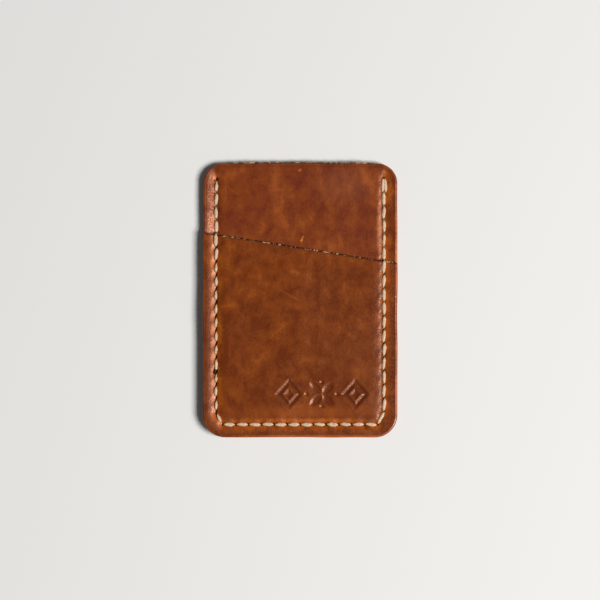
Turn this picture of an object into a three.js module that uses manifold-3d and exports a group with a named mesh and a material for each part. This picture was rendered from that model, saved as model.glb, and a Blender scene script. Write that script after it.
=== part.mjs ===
// Slim vertical card wallet: three leather panels, sewn together round the sides and the
// bottom with one waxed thread in saddle stitch. It has a full-height main pocket, open at the
// top, and a front pocket with a slanted mouth.
//
// Millimetres, +Z up. The wallet lies on its back. +Y points to the pocket mouths and +Z out
// of the front. The origin is the middle of the footprint, on the surface under the wallet.

import * as THREE from "three";
import { mergeVertices } from "three/addons/utils/BufferGeometryUtils.js";
import Module from "manifold-3d";

// Driving dimensions.
const WIDTH = 71;
const HEIGHT = 100;
const LEATHER = 1.3; // thickness of each panel
const GLUE_LINE = 0.05; // cement between two panels round the margin
const POCKET_GAP = 0.9; // a bank card is 0.76 thick
const TOP_RADIUS = 7.2;
const BOTTOM_RADIUS = 8.2;
const EDGE_BEVEL = 0.3;
const MOUTH_LEFT = 24.5; // Y of the front pocket's mouth at the left edge
const MOUTH_RIGHT = 13.3; // and at the right edge

// The pocket is the raised middle of a panel. A ramp joins it to the flat margin.
const POCKET_HALF_WIDTH = 28.0; // a bank card is 54 wide
const POCKET_BOTTOM = -42.0;
const POCKET_RADIUS = 1.9;
const RAMP = 1.4;
const PAST_EDGE = 10; // how far a cutting shape runs past the panels

// Sewing: a row of holes down the left side, along the bottom and up the right side.
const SEAM_X = 30.6;
const SEAM_BOTTOM = -45.3;
const SIDE_PITCH = 5.0;
const SIDE_STITCHES = 17;
const BOTTOM_PITCH = 4.7;
const BOTTOM_STITCHES = 12;
const LEFT_TOP_HOLE = 44.2;
const RIGHT_TOP_HOLE = 44.35;
const HOLE_HALF_WIDTH = 0.88; // across the seam
const HOLE_HALF_LENGTH = 0.45; // along the seam

// Thread: flattened where it lies on the leather, and rounder in the holes.
const STRAND_OFFSET = 0.42; // the two strands in a hole lie side by side across the seam
const STITCH_HALF = [0.42, 0.3]; // half width and half thickness on the leather
const HOLE_HALF = [0.33, 0.32]; // the same inside a hole
const BEAD_HALF = [0.42, 0.42]; // the melted end of a strand
const STITCH_LIFT = 0.42; // strand centre above the leather
const MOUTH_LIFT = 0.12; // strand centre where it leaves a hole
const SHOULDER = 0.62; // from the hole to where the strand lies flat
const MOUTH_LEAN = Math.PI / 6; // lean of the strand as it leaves a hole
const SECTION_SIDES = 6;
const ARC_STEPS = 8;

// Heights of the stack, from the surface under the wallet up to the front.
const BACK_MARGIN = POCKET_GAP;
const MIDDLE_BASE = BACK_MARGIN + LEATHER + GLUE_LINE;
const FRONT_BASE = MIDDLE_BASE + LEATHER + GLUE_LINE;
const MIDDLE_TOP = MIDDLE_BASE + LEATHER;
const FRONT_TOP = FRONT_BASE + LEATHER;

const wasm = await Module();
wasm.setup();

// ---- three.js geometry to manifold-3d and back ----

function toSolid(geometry) {
  const bare = geometry.clone();
  bare.deleteAttribute("normal");
  bare.deleteAttribute("uv");
  const merged = mergeVertices(bare, 1e-4);
  const mesh = new wasm.Mesh({
    numProp: 3,
    vertProperties: merged.attributes.position.array,
    triVerts: new Uint32Array(merged.index.array),
  });
  return new wasm.Manifold(mesh);
}

function toGeometry(solid) {
  const mesh = solid.getMesh();
  const geometry = new THREE.BufferGeometry();
  geometry.setAttribute("position", new THREE.BufferAttribute(mesh.vertProperties, 3));
  geometry.setIndex(new THREE.BufferAttribute(mesh.triVerts, 1));
  geometry.computeVertexNormals();
  return geometry;
}

// ---- outlines ----

function arc(x, y, radius, from, to) {
  const curve = new THREE.EllipseCurve(x, y, radius, radius, from, to);
  return curve.getPoints(ARC_STEPS);
}

// The two lower corners of an outline, with whatever closes it at the top between them.
function outline(halfWidth, bottom, radius, topPoints) {
  const x = halfWidth - radius;
  const y = bottom + radius;
  return new THREE.Shape([
    ...arc(x, y, radius, -Math.PI / 2, 0),
    ...topPoints,
    ...arc(-x, y, radius, Math.PI, 1.5 * Math.PI),
  ]);
}

function fullOutline() {
  const x = WIDTH / 2 - TOP_RADIUS;
  const y = HEIGHT / 2 - TOP_RADIUS;
  return outline(WIDTH / 2, -HEIGHT / 2, BOTTOM_RADIUS, [
    ...arc(x, y, TOP_RADIUS, 0, Math.PI / 2),
    ...arc(-x, y, TOP_RADIUS, Math.PI / 2, Math.PI),
  ]);
}

function frontOutline() {
  return outline(WIDTH / 2, -HEIGHT / 2, BOTTOM_RADIUS, [
    new THREE.Vector2(WIDTH / 2, MOUTH_RIGHT),
    new THREE.Vector2(-WIDTH / 2, MOUTH_LEFT),
  ]);
}

function pocketOutline(grow) {
  const halfWidth = POCKET_HALF_WIDTH + grow;
  const top = HEIGHT / 2 + PAST_EDGE;
  return outline(halfWidth, POCKET_BOTTOM - grow, POCKET_RADIUS + grow, [
    new THREE.Vector2(halfWidth, top),
    new THREE.Vector2(-halfWidth, top),
  ]);
}

// ---- panels: each lies with its margin on z = 0 and its pocket raised towards +Z ----

// A flat plate of the leather's thickness, with its outer edges bevelled.
function plate(shape) {
  const geometry = new THREE.ExtrudeGeometry(shape, {
    depth: LEATHER - 2 * EDGE_BEVEL,
    bevelThickness: EDGE_BEVEL,
    bevelSize: EDGE_BEVEL,
    bevelOffset: -EDGE_BEVEL,
    bevelSegments: 1,
  });
  return toSolid(geometry.translate(0, 0, EDGE_BEVEL));
}

function prism(shape, height) {
  return toSolid(new THREE.ExtrudeGeometry(shape, { depth: height, bevelEnabled: false }));
}

// The raised pocket: a block whose ramp starts at the height base and ends POCKET_GAP above.
function raisedBlock(grow, base) {
  const geometry = new THREE.ExtrudeGeometry(pocketOutline(grow), {
    depth: LEATHER,
    bevelThickness: POCKET_GAP,
    bevelSize: RAMP,
    bevelSegments: 1,
  });
  return toSolid(geometry.translate(0, 0, base - LEATHER));
}

// A panel that bulges over its pocket, open at the mouth.
function pocketPanel(shape) {
  const slope = Math.atan2(POCKET_GAP, RAMP);
  const outside = raisedBlock(LEATHER * Math.tan(slope / 2), LEATHER);
  const inside = raisedBlock(0, 0);
  const within = prism(shape, LEATHER + POCKET_GAP);
  return plate(shape).add(outside.intersect(within)).subtract(inside);
}

// ---- sewing holes ----

function holePositions() {
  const points = [];
  const bottomHalf = (BOTTOM_PITCH * BOTTOM_STITCHES) / 2;
  for (let i = 0; i <= SIDE_STITCHES; i++)
    points.push(new THREE.Vector2(-SEAM_X, LEFT_TOP_HOLE - i * SIDE_PITCH));
  for (let i = 0; i <= BOTTOM_STITCHES; i++)
    points.push(new THREE.Vector2(i * BOTTOM_PITCH - bottomHalf, SEAM_BOTTOM));
  for (let i = SIDE_STITCHES; i >= 0; i--)
    points.push(new THREE.Vector2(SEAM_X, RIGHT_TOP_HOLE - i * SIDE_PITCH));
  return points;
}

// Each hole's place, the seam's direction there, and the direction across it, inwards.
function makeHoles() {
  const points = holePositions();
  return points.map((at, i) => {
    const before = points[Math.max(i - 1, 0)];
    const after = points[Math.min(i + 1, points.length - 1)];
    const along = after.clone().sub(before).normalize();
    return { at, along, across: new THREE.Vector2(-along.y, along.x) };
  });
}

const holes = makeHoles();
const LAST = holes.length - 1;
const DOUBLED = LAST - 1; // this hole also takes the tail that doubles the last stitch

function strandPoint(index, lane) {
  const hole = holes[index];
  return hole.at.clone().addScaledVector(hole.across, lane * STRAND_OFFSET);
}

function holeCutter(hole, index) {
  const outer = index === DOUBLED ? HOLE_HALF_WIDTH + 2 * STRAND_OFFSET : HOLE_HALF_WIDTH;
  const corners = [
    [-outer, -HOLE_HALF_LENGTH],
    [-outer, HOLE_HALF_LENGTH],
    [HOLE_HALF_WIDTH, HOLE_HALF_LENGTH],
    [HOLE_HALF_WIDTH, -HOLE_HALF_LENGTH],
  ];
  const points = corners.map(([across, along]) =>
    hole.at
      .clone()
      .addScaledVector(hole.across, across)
      .addScaledVector(hole.along, along),
  );
  const depth = 2 * PAST_EDGE;
  const geometry = new THREE.ExtrudeGeometry(new THREE.Shape(points), {
    depth,
    bevelEnabled: false,
  });
  return toSolid(geometry.translate(0, 0, -depth / 2));
}

const allHoles = holes.map(holeCutter).reduce((sum, cutter) => sum.add(cutter));

// ---- thread ----

// A path given as rings: a centre, a tangent and a half width and half thickness at each.
// ExtrudeGeometry reads its points and frames, and the frames carry the section's size.
class ThreadPath extends THREE.Curve {
  constructor(rings) {
    super();
    this.rings = rings;
  }

  getSpacedPoints() {
    return this.rings.map((ring) => ring.centre);
  }

  computeFrenetFrames() {
    const frames = { tangents: [], normals: [], binormals: [] };
    for (const { tangent, across, half } of this.rings) {
      frames.tangents.push(tangent);
      frames.normals.push(across.clone().multiplyScalar(half[0]));
      const binormal = new THREE.Vector3().crossVectors(tangent, across);
      frames.binormals.push(binormal.multiplyScalar(half[1]));
    }
    return frames;
  }
}

function ring(point, z, direction, lean, half) {
  const flat = new THREE.Vector3(direction.x, direction.y, 0);
  const tangent = flat.clone().multiplyScalar(Math.sin(lean));
  tangent.z = Math.cos(lean);
  const across = new THREE.Vector3(-direction.y, direction.x, 0);
  return { centre: new THREE.Vector3(point.x, point.y, z), tangent, across, half };
}

// One stitch from a strand point to the next, on the front (side 1) or on the back (side -1).
function stitchRings(from, to, level, side) {
  const along = to.clone().sub(from).normalize();
  const mouth = level + side * MOUTH_LIFT;
  const flat = level + side * STITCH_LIFT;
  const rise = side > 0 ? MOUTH_LEAN : Math.PI - MOUTH_LEAN;
  const start = from.clone().addScaledVector(along, SHOULDER);
  const end = to.clone().addScaledVector(along, -SHOULDER);
  return [
    ring(from, mouth, along, rise, HOLE_HALF),
    ring(start, flat, along, Math.PI / 2, STITCH_HALF),
    ring(start.clone().lerp(end, 0.5), flat, along, Math.PI / 2, STITCH_HALF),
    ring(end, flat, along, Math.PI / 2, STITCH_HALF),
    ring(to, mouth, along, Math.PI - rise, HOLE_HALF),
  ];
}

// The leather's height under a front stitch: the front panel where it reaches under it.
function frontLevel(from, to) {
  const mouthAt = (x) =>
    THREE.MathUtils.mapLinear(x, -WIDTH / 2, WIDTH / 2, MOUTH_LEFT, MOUTH_RIGHT);
  const underFront = [from, to].some((p) => p.y < mouthAt(p.x));
  return underFront ? FRONT_TOP : MIDDLE_TOP;
}

// A strand changes lane across the seam on each stitch but the last, so stitches slant.
function stitch(index, side) {
  const startLane = side;
  const endLane = index === DOUBLED ? side : -side;
  const from = strandPoint(index, startLane);
  const to = strandPoint(index + 1, endLane);
  const level = side > 0 ? frontLevel(from, to) : BACK_MARGIN;
  return stitchRings(from, to, level, side);
}

// The melted end of a strand that has come down through a hole, under the back panel.
function bead(point, direction) {
  const base = BACK_MARGIN - MOUTH_LIFT;
  return [
    ring(point, base + MOUTH_LIFT, direction, Math.PI, HOLE_HALF),
    ring(point, base - MOUTH_LIFT, direction, Math.PI, BEAD_HALF),
    ring(point, base - 2 * MOUTH_LIFT, direction, Math.PI, BEAD_HALF),
  ];
}

// One needle's run: stitches alternately on the front and on the back.
function needleRun(startsInFront) {
  const rings = [];
  const firstSide = startsInFront ? 1 : -1;
  const first = strandPoint(0, firstSide);
  const down = holes[0].along;
  const lean = startsInFront ? 0 : Math.PI;
  const hidden = startsInFront ? BACK_MARGIN + GLUE_LINE : BACK_MARGIN + LEATHER;
  rings.push(ring(first, hidden, down, lean, HOLE_HALF));
  for (let i = 0; i < LAST; i++) rings.push(...stitch(i, i % 2 ? -firstSide : firstSide));
  return rings;
}

// The front needle ends by doubling the last stitch, back to the hole before.
function frontNeedleRun() {
  const from = strandPoint(LAST, -1);
  const to = strandPoint(DOUBLED, -3);
  const rings = needleRun(true);
  rings.push(...stitchRings(from, to, MIDDLE_TOP, 1));
  rings.push(...bead(to, to.clone().sub(from).normalize()));
  return rings;
}

function backNeedleRun() {
  const rings = needleRun(false);
  rings.push(...bead(strandPoint(LAST, 1), holes[LAST].along));
  return rings;
}

function threadGeometry(rings) {
  const section = [];
  for (let i = 0; i < SECTION_SIDES; i++) {
    const angle = ((i + 0.5) * 2 * Math.PI) / SECTION_SIDES;
    section.push(new THREE.Vector2(Math.cos(angle), Math.sin(angle)));
  }
  return new THREE.ExtrudeGeometry(new THREE.Shape(section), {
    steps: rings.length - 1,
    extrudePath: new ThreadPath(rings),
  });
}

// ---- assembly ----

const leather = () =>
  new THREE.MeshStandardMaterial({ color: 0x7d3d18, roughness: 0.5, metalness: 0 });
const waxedThread = () =>
  new THREE.MeshStandardMaterial({ color: 0xdcc3a0, roughness: 0.6, metalness: 0 });

function named(name, geometry, material) {
  const mesh = new THREE.Mesh(geometry, material);
  mesh.name = name;
  return mesh;
}

function backPanel() {
  const turned = toGeometry(pocketPanel(fullOutline())).rotateY(Math.PI);
  const solid = toSolid(turned).subtract(allHoles);
  const mesh = named("back_panel", toGeometry(solid), leather());
  mesh.position.z = BACK_MARGIN + LEATHER;
  return mesh;
}

function middlePanel() {
  const solid = plate(fullOutline()).subtract(allHoles);
  const mesh = named("middle_panel", toGeometry(solid), leather());
  mesh.position.z = MIDDLE_BASE;
  return mesh;
}

function frontPocketPanel() {
  const solid = pocketPanel(frontOutline()).subtract(allHoles);
  const mesh = named("front_pocket_panel", toGeometry(solid), leather());
  mesh.position.z = FRONT_BASE;
  return mesh;
}

const wallet = new THREE.Group();
wallet.name = "wallet";
wallet.add(backPanel(), middlePanel(), frontPocketPanel());
wallet.add(named("thread_front_needle_run", threadGeometry(frontNeedleRun()), waxedThread()));
wallet.add(named("thread_back_needle_run", threadGeometry(backNeedleRun()), waxedThread()));

export default wallet;
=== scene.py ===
import math

import bpy
import numpy as np
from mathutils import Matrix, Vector
from mathutils.geometry import delaunay_2d_cdt


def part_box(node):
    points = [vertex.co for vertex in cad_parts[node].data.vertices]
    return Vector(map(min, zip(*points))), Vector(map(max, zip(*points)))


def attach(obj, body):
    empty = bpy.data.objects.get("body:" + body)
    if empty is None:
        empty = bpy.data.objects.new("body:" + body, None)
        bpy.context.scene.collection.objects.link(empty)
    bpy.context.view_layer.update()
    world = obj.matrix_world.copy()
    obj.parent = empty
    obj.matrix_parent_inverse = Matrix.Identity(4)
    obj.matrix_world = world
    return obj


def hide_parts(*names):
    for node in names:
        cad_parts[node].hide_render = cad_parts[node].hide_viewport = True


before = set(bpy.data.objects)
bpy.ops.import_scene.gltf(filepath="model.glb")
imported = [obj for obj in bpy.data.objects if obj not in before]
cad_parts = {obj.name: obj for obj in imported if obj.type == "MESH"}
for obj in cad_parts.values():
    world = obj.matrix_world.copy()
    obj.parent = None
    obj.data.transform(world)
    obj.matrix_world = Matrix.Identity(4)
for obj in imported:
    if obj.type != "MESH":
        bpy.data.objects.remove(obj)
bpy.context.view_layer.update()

MM = 0.001
SEED = 20

# ---- sizes of the frame, in millimetres ----


def node_box(node):
    low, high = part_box(node)
    return np.array(low) / MM, np.array(high) / MM


BACK_LOW, BACK_HIGH = node_box("back_panel")
MIDDLE_LOW, MIDDLE_HIGH = node_box("middle_panel")
FRONT_LOW, FRONT_HIGH = node_box("front_pocket_panel")
HALF_WIDTH, HALF_HEIGHT = MIDDLE_HIGH[0], MIDDLE_HIGH[1]
LEATHER = MIDDLE_HIGH[2] - MIDDLE_LOW[2]
BACK_MARGIN = BACK_HIGH[2] - LEATHER  # height of the back panel's margin, outer side
MIDDLE_TOP = MIDDLE_HIGH[2]
FRONT_MARGIN = FRONT_LOW[2] + LEATHER
FRONT_BULGE = FRONT_HIGH[2] - FRONT_MARGIN
BACK_BULGE = BACK_MARGIN - BACK_LOW[2]

# The same driving dimensions as the frame's own.
TOP_RADIUS = 7.2
BOTTOM_RADIUS = 8.2
MOUTH_LEFT = 24.5
MOUTH_RIGHT = 13.3
MOUTH_SLOPE = (MOUTH_RIGHT - MOUTH_LEFT) / (2 * HALF_WIDTH)
MOUTH_ANGLE = math.atan(MOUTH_SLOPE)
SEAM_X = 30.6
SEAM_BOTTOM = -45.3
SIDE_PITCH = 5.0
SIDE_STITCHES = 17
BOTTOM_PITCH = 4.7
BOTTOM_STITCHES = 12
LEFT_TOP_HOLE = 44.2
RIGHT_TOP_HOLE = 44.35

# ---- small maths helpers on arrays ----


def smoothstep(low, high, value):
    t = np.clip((value - low) / (high - low), 0, 1)
    return t * t * (3 - 2 * t)


def blend(a, b, share):
    return a + (b - a) * share


def bell(value, width):
    return np.exp(-((value / width) ** 2))


def units(vectors):
    return vectors / np.linalg.norm(vectors, axis=1)[:, None]


def waves(x, y, size, seed):
    """Smooth noise, mostly from -1 to 1, with features of about the given size."""
    random = np.random.default_rng(seed)
    total = np.zeros(np.broadcast(x, y).shape)
    count = 9
    for _ in range(count):
        angle, phase = random.uniform(0, 2 * np.pi, 2)
        length = size * random.uniform(0.7, 1.6)
        along = x * math.cos(angle) + y * math.sin(angle)
        total += np.sin(2 * np.pi * along / length + phase)
    return total / math.sqrt(count)


# ---- outline and mouth ----


def rounded_inset(x, y, radius):
    """Distance inwards from a rounded corner, with x and y from its centre outwards."""
    past_corner = np.hypot(np.maximum(x, 0), np.maximum(y, 0))
    return radius - past_corner - np.minimum(np.maximum(x, y), 0)


def outline_distance(x, y):
    """Distance inwards from the full panel's outline."""
    radius = np.where(y > 0, TOP_RADIUS, BOTTOM_RADIUS)
    right, up = np.abs(x) - (HALF_WIDTH - radius), np.abs(y) - (HALF_HEIGHT - radius)
    return rounded_inset(right, up, radius)


def mouth_y(x):
    return MOUTH_LEFT + (x + HALF_WIDTH) * MOUTH_SLOPE


def mouth_distance(x, y):
    """Distance down from the front pocket's mouth, negative above it."""
    return (mouth_y(x) - y) * math.cos(MOUTH_ANGLE)


def front_distance(x, y):
    return np.minimum(outline_distance(x, y), mouth_distance(x, y))


# ---- seam ----


def hole_points():
    bottom_half = BOTTOM_PITCH * BOTTOM_STITCHES / 2
    left = [(-SEAM_X, LEFT_TOP_HOLE - i * SIDE_PITCH) for i in range(SIDE_STITCHES + 1)]
    bottom = [(i * BOTTOM_PITCH - bottom_half, SEAM_BOTTOM) for i in range(BOTTOM_STITCHES + 1)]
    right = [(SEAM_X, RIGHT_TOP_HOLE - i * SIDE_PITCH) for i in range(SIDE_STITCHES, -1, -1)]
    return np.array(left + bottom + right)


HOLES = hole_points()
LAST = len(HOLES) - 1
DOUBLED = LAST - 1  # the tail that doubles the last stitch goes down this hole


def unit(vector):
    return vector / np.linalg.norm(vector)


HOLE_ALONG = np.array(
    [unit(HOLES[min(i + 1, LAST)] - HOLES[max(i - 1, 0)]) for i in range(LAST + 1)]
)
HOLE_ACROSS = np.stack([-HOLE_ALONG[:, 1], HOLE_ALONG[:, 0]], axis=1)  # points inwards


def seam_inset(x, y):
    """Distance to the row of holes: positive inside the U, negative in the margin."""
    best = np.full(x.shape, 1e9)
    side = np.ones(x.shape)
    for a, b in zip(HOLES[:-1], HOLES[1:]):
        step = b - a
        t = np.clip(((x - a[0]) * step[0] + (y - a[1]) * step[1]) / (step @ step), 0, 1)
        away = np.hypot(x - a[0] - t * step[0], y - a[1] - t * step[1])
        turn = step[0] * (y - a[1]) - step[1] * (x - a[0])
        nearer = away < best
        side = np.where(nearer, np.sign(turn), side)
        best = np.minimum(best, away)
    return best * side


POCKET_CORNER = 5.0


def pocket_inset(x, y):
    """Distance inwards from the lines of the seam, which run on up to the top."""
    right, down = np.abs(x) - (SEAM_X - POCKET_CORNER), (SEAM_BOTTOM + POCKET_CORNER) - y
    return rounded_inset(right, down, POCKET_CORNER)


# Each hole is a slit, turned from the seam's direction.
SLIT_ANGLE = math.radians(18)
BOTTOM_ANGLE = math.radians(58)
SLIT_HALF = (0.85, 0.34)
LEFT_HALF = (1.05, 0.31)  # the left column's holes are pulled longer
BOTTOM_HALF = (0.68, 0.34)
FIRST_HALF = (0.85, 0.5)  # the first hole is left partly bare
PAIR_HALF = (0.8, 0.62)  # the last two holes hold the doubled stitch
TORN_HOLE = 14  # this hole was torn wider by the awl
TORN_HALF = (1.35, 0.85)
TORN_SHIFT = 0.3


def in_bottom_row(index):
    return SIDE_STITCHES < index < LAST - SIDE_STITCHES


def slit_axes(index):
    """A slit's long and short directions: its inner end comes first along the seam."""
    turn = BOTTOM_ANGLE if in_bottom_row(index) else SLIT_ANGLE
    long = HOLE_ALONG[index] * math.cos(turn) - HOLE_ACROSS[index] * math.sin(turn)
    return long, np.array([-long[1], long[0]])


def slit_half(index):
    if index == TORN_HOLE:
        return TORN_HALF
    if index == 0:
        return FIRST_HALF
    if in_bottom_row(index):
        return BOTTOM_HALF
    if HOLES[index][0] < 0 and HOLES[index][1] < MOUTH_RIGHT:
        return LEFT_HALF
    return PAIR_HALF if index >= DOUBLED else SLIT_HALF


def slit_centre(index):
    if index == TORN_HOLE:
        return HOLES[index] - HOLE_ACROSS[index] * TORN_SHIFT
    return HOLES[index]


def turned(index, centre, x, y):
    """A place seen from a centre, along a slit's long and short directions."""
    long, short = slit_axes(index)
    dx, dy = x - centre[0], y - centre[1]
    return dx * long[0] + dy * long[1], dx * short[0] + dy * short[1]


def slit_radius(index, x, y, grow=0.0):
    """1 on the slit's edge, or on that edge moved outwards by grow, and more outside it."""
    u, v = turned(index, slit_centre(index), x, y)
    half_long, half_short = slit_half(index)
    return np.hypot(u / (half_long + grow), v / (half_short + grow))


# ---- relief of the leather ----

FRONT_GROOVE = 0.4  # how far the seam draws the front and the back panel in
MIDDLE_GROOVE = 0.58  # and the middle panel, above the mouth
GROOVE_WIDTH = (2.6, 0.8)  # in the margin, and inside the seam
BED_DEPTH = 0.08  # the thread presses this far into the leather
BED_WIDTH = 0.6
PUCKER_DEPTH = 0.42  # at a hole the stitch pulls the leather down
PUCKER_HALF = (2.0, 1.25)
PUCKER_REACH = 5
PUCKER_VARY = 0.25  # no two stitches are pulled quite as tight


def pucker(x, y):
    """From 0 to 1: how much the nearest hole pulls the leather down."""
    total = np.zeros(x.shape)
    tightness = 1 - PUCKER_VARY * np.random.default_rng(SEED).random(LAST + 1)
    for index, hole in enumerate(HOLES):
        near = (np.abs(x - hole[0]) < PUCKER_REACH) & (np.abs(y - hole[1]) < PUCKER_REACH)
        u, v = turned(index, hole, x[near], y[near])
        u, v = u / PUCKER_HALF[0], v / PUCKER_HALF[1]
        total[near] = np.maximum(total[near], tightness[index] * np.exp(-u * u - v * v))
    return total


def seam_relief(x, y, depth):
    """How far the seam draws the leather down, in millimetres."""
    inset = seam_inset(x, y)
    inside = smoothstep(-0.6, 0.6, pocket_inset(x, y))
    groove = depth * bell(inset, blend(*GROOVE_WIDTH, inside))
    return groove + BED_DEPTH * bell(inset, BED_WIDTH) + PUCKER_DEPTH * pucker(x, y)


BEVEL_WIDE = 0.6  # the slicked bevel beside the edge, seen from above
BEVEL_SLOPE = 0.36
BEVEL_SOFT = 0.045
ROUND_OUTER = (0.26, 0.34)  # width and depth of the rounding at the edge itself
ROUND_INNER = (0.16, 0.1)  # the same where another panel lies against it
ROUND_MOUTH = (0.55, 0.45)  # and along the raw mouth
CREASE_AT = 1.0
CREASE_WIDE = 0.15
CREASE_DEPTH = 0.03


def rounding(distance, wide, deep):
    t = np.clip(1 - distance / wide, 0, 1)
    return deep * (1 - np.sqrt(1 - t * t))


def edge_relief(distance):
    bevel = BEVEL_SLOPE * BEVEL_SOFT * np.logaddexp(0, (BEVEL_WIDE - distance) / BEVEL_SOFT)
    crease = CREASE_DEPTH * bell(distance - CREASE_AT, CREASE_WIDE)
    return bevel + rounding(distance, *ROUND_OUTER) + crease


SHOULDER_RISE, DOME_RISE = 0.14, 0.26
SHOULDER = (0.6, 4.6)  # from the seam, where the shoulder starts and where it ends


def bulge_rise(inset):
    """From 0 at the seam: an empty pocket lies lower than one with its card."""
    shoulder = smoothstep(*SHOULDER, inset)
    dome = 1 - (1 - np.clip(inset / SEAM_X, 0, 1)) ** 2
    return SHOULDER_RISE * shoulder + DOME_RISE * dome


LIP_RISE = 0.34  # at its mouth the pocket lies down to this share of its bulge
LIP_LENGTH = 15


def lip_share(distance):
    return LIP_RISE + (1 - LIP_RISE) * smoothstep(-2, LIP_LENGTH, distance)


BROAD_UNEVEN, BROAD_SIZE = 0.06, 24
SMALL_UNEVEN, SMALL_SIZE = 0.012, 5


def soft_unevenness(x, y, seed):
    broad = BROAD_UNEVEN * waves(x, y, BROAD_SIZE, seed)
    return broad + SMALL_UNEVEN * waves(x, y, SMALL_SIZE, seed + 1)


# ---- ornament pressed into the front panel: two lozenges and a four-petalled flower ----

ORNAMENT_AT = (8.0, -34.3)
ORNAMENT_DEPTH = 0.24
ORNAMENT_WALL = 0.36
LOZENGE_HALF = (4.7, 5.25)
LOZENGE_STROKE = 0.62
LOZENGE_OFFSET = 12.1
INNER_HALF = (1.35, 1.6)  # the small lozenge inside
PETAL_AT = 2.95
PETAL_HALF = (2.35, 1.12)
SIDE_DOT, END_DOT = (5.6, 0.55), (4.4, 0.5)  # from the flower's middle, and radius
SWELLING, SWELLING_AT, SWELLING_WIDE = 0.05, 0.65, 0.45  # leather pushed up round the figure


def lozenge(x, y, half_x, half_y):
    scale = 1 / math.hypot(1 / half_x, 1 / half_y)
    return (np.abs(x) / half_x + np.abs(y) / half_y - 1) * scale


def petal(x, y, angle):
    u = x * math.cos(angle) + y * math.sin(angle) - PETAL_AT
    v = -x * math.sin(angle) + y * math.cos(angle)
    return (np.hypot(u / PETAL_HALF[0], v / PETAL_HALF[1]) - 1) * PETAL_HALF[1]


def ornament_distance(x, y):
    """Negative inside the pressed figure."""
    x, y = x - ORNAMENT_AT[0], y - ORNAMENT_AT[1]
    parts = []
    for side in (-1, 1):
        around = lozenge(x - side * LOZENGE_OFFSET, y, *LOZENGE_HALF)
        parts.append(np.abs(around + LOZENGE_STROKE) - LOZENGE_STROKE)
        parts.append(lozenge(x - side * LOZENGE_OFFSET, y, *INNER_HALF))
    for quarter in range(4):
        parts.append(petal(x, y, math.pi / 4 + quarter * math.pi / 2))
    for side in (-1, 1):
        parts.append(np.hypot(x - side * SIDE_DOT[0], y) - SIDE_DOT[1])
        parts.append(np.hypot(x, y - side * END_DOT[0]) - END_DOT[1])
    return np.minimum.reduce(parts)


def pressed_share(distance):
    """1 on the pressed floor, 0 outside, with a straight wall between."""
    return np.clip(0.5 - 0.5 * distance / ORNAMENT_WALL, 0, 1)


def ornament_relief(x, y):
    distance = ornament_distance(x, y)
    swelling = SWELLING * bell(distance - SWELLING_AT, SWELLING_WIDE)
    return ORNAMENT_DEPTH * pressed_share(distance) - swelling


# ---- heights of the panels' faces, in millimetres ----


def front_grain(x, y):
    """The front panel's outer face."""
    rise = bulge_rise(pocket_inset(x, y)) * lip_share(mouth_distance(x, y))
    height = FRONT_MARGIN + FRONT_BULGE * rise
    relief = seam_relief(x, y, FRONT_GROOVE) + ornament_relief(x, y)
    return height - relief + soft_unevenness(x, y, 3)


def front_flesh(x, y):
    rise = bulge_rise(pocket_inset(x, y) - 0.5) * lip_share(mouth_distance(x, y))
    return FRONT_LOW[2] + FRONT_BULGE * rise


MIDDLE_CROWN = 0.16
MARGIN_FLARE = 0.36  # the middle panel's margin rises to its edge, drawn down only at the seam


def above_mouth(x, y):
    return smoothstep(0.05, 0.9, -mouth_distance(x, y))


def middle_grain(x, y):
    """Its outer face, which dips along the seam only where the front panel doesn't lie on it."""
    free = above_mouth(x, y)
    crown = MIDDLE_CROWN * bulge_rise(pocket_inset(x, y))
    flare = MARGIN_FLARE * smoothstep(0.4, 4.2, -pocket_inset(x, y))
    relief = seam_relief(x, y, MIDDLE_GROOVE)
    return MIDDLE_TOP + free * (crown + flare - relief + soft_unevenness(x, y, 7))


def middle_flesh(x, y):
    return np.full(x.shape, MIDDLE_LOW[2])


def back_rise(x, y):
    lip = 0.5 + 0.5 * smoothstep(0, 9, HALF_HEIGHT - y)
    return smoothstep(0.3, 5.0, pocket_inset(x, y)) * lip


def back_grain(x, y):
    """The back panel's outer face, which looks down."""
    return BACK_MARGIN - BACK_BULGE * back_rise(x, y) + seam_relief(x, y, FRONT_GROOVE)


def back_flesh(x, y):
    return BACK_HIGH[2] - BACK_BULGE * back_rise(x, y)


# ---- points over a panel, and their triangles ----

RING_SPACING = 0.42
ROUND_RINGS = [ROUND_OUTER[0] * (1 - math.cos(math.radians(a))) for a in (0, 24, 40, 56, 72, 90)]
BEVEL_RINGS = [0.42, 0.51, BEVEL_WIDE, 0.72, 0.86, CREASE_AT, 1.12, 1.24, 1.4, 1.6]
GRAIN_RINGS = ROUND_RINGS + BEVEL_RINGS
FLESH_RINGS = [0, 0.12, 0.5]
SLIT_STEPS = 18
SLIT_RINGS = (1.0, 1.25, 1.6, 2.1)
SLIT_REACH = 3  # no slit or ring of one reaches further than this from its hole
QUARTER_STEPS = 22


def sampled(corners, spacing):
    """Points along a closed line, each stretch cut into equal steps."""
    points = []
    for a, b in zip(corners, corners[1:] + corners[:1]):
        a, b = np.array(a), np.array(b)
        count = max(1, round(np.linalg.norm(b - a) / spacing))
        points += [a + (b - a) * i / count for i in range(count)]
    return points


def quarter(cx, cy, radius, start):
    angles = [start + i * math.pi / 2 / QUARTER_STEPS for i in range(QUARTER_STEPS + 1)]
    return [(cx + radius * math.cos(a), cy + radius * math.sin(a)) for a in angles]


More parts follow.
